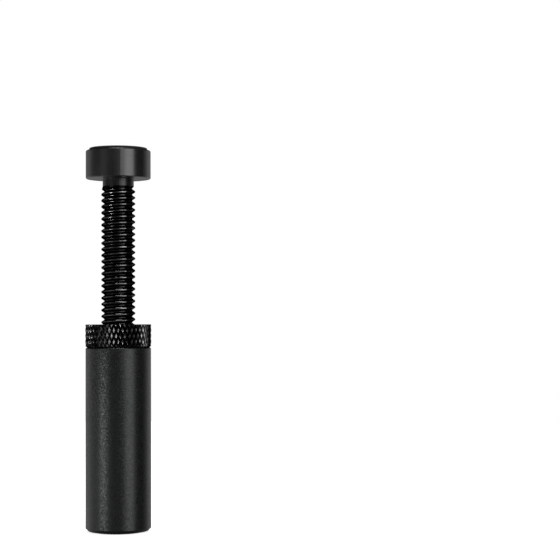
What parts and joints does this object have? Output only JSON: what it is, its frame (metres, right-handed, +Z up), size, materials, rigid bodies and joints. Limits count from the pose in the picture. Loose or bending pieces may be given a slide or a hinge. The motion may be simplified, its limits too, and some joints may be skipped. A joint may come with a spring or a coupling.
{
  "type": "graphics card support bracket",
  "caption": "Slim black screw jack with a magnetic sleeve base, knurled adjuster ring, threaded post and padded round head; stands on a computer case floor to prop up a sagging graphics card.",
  "frame": {"origin": "on the axis, where the foot pad meets the floor", "axes": "+Z up along the screw's axis, from the foot to the card; X and Y are equal, since every piece is turned about Z"},
  "size_m": [0.02, 0.02, 0.1169],
  "materials": {
    "matte_anodised": "bead-blasted, black anodised, matte",
    "gloss_anodised": "knurled, black anodised, glossy",
    "satin_anodised": "turned, black anodised, satin",
    "pad_rubber": "matte",
    "magnet_plating": "nickel plated"
  },
  "bodies": {
    "base": {"base_sleeve": "matte_anodised", "base_magnet": "magnet_plating", "foot_pad": "pad_rubber"},
    "ring": {"adjuster_ring": "gloss_anodised"},
    "screw": {"lift_screw": "satin_anodised", "top_pad": "pad_rubber"}
  },
  "joints": [
    {"name": "ring_turn", "type": "hinge", "parent": "base", "child": "ring", "pos_m": [0, 0, 0.0595], "axis": [0, 0, 1], "range_deg": [0, 8168]},
    {"name": "screw_lift", "type": "slide", "parent": "base", "child": "screw", "axis": [0, 0, 1], "range_m": [-0.0422, 0]}
  ],
  "couplings": [
    {"joint": "ring_turn", "follows": "screw_lift", "rad_per_m": -3378.1}
  ]
}
